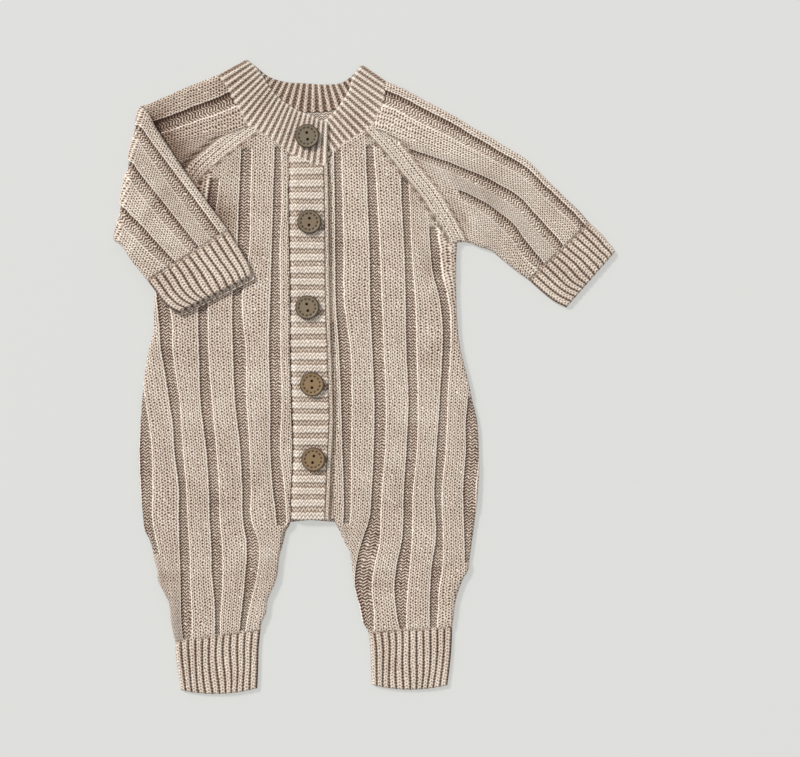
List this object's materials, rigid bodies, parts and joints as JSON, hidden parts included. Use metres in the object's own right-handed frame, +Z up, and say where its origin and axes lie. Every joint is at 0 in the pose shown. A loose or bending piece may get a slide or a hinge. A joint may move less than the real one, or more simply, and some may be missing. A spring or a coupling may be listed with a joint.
{
  "type": "baby romper",
  "caption": "Knitted baby romper laid flat, with wide ribs, raglan sleeves, ribbed neckband and cuffs, and a buttoned front band; one sleeve is folded over the front",
  "frame": {"origin": "middle of the outline seen from above, on the surface that the romper lies on", "axes": "+X to the spread-out sleeve, +Y from the leg cuffs to the neck, +Z up off the surface"},
  "size_m": [0.376, 0.4776, 0.0125],
  "materials": {
    "knit": "matte cotton stockinette and purl knit, warm taupe",
    "rib_trim": "matte cotton rib knit, warm taupe",
    "button_wood": "satin wood with a burnt rim and an engraved dashed ring"
  },
  "bodies": {
    "root": {"back": "knit", "front_left": "knit", "front_right": "knit", "sleeve_left": "knit", "sleeve_right": "knit", "neckband": "rib_trim", "button_band": "rib_trim", "buttonhole_band": "rib_trim", "sleeve_cuff_left": "rib_trim", "sleeve_cuff_right": "rib_trim", "leg_cuff_left": "rib_trim", "leg_cuff_right": "rib_trim", "button_1": "button_wood", "button_2": "button_wood", "button_3": "button_wood", "button_4": "button_wood", "button_5": "button_wood"}
  },
  "joints": []
}
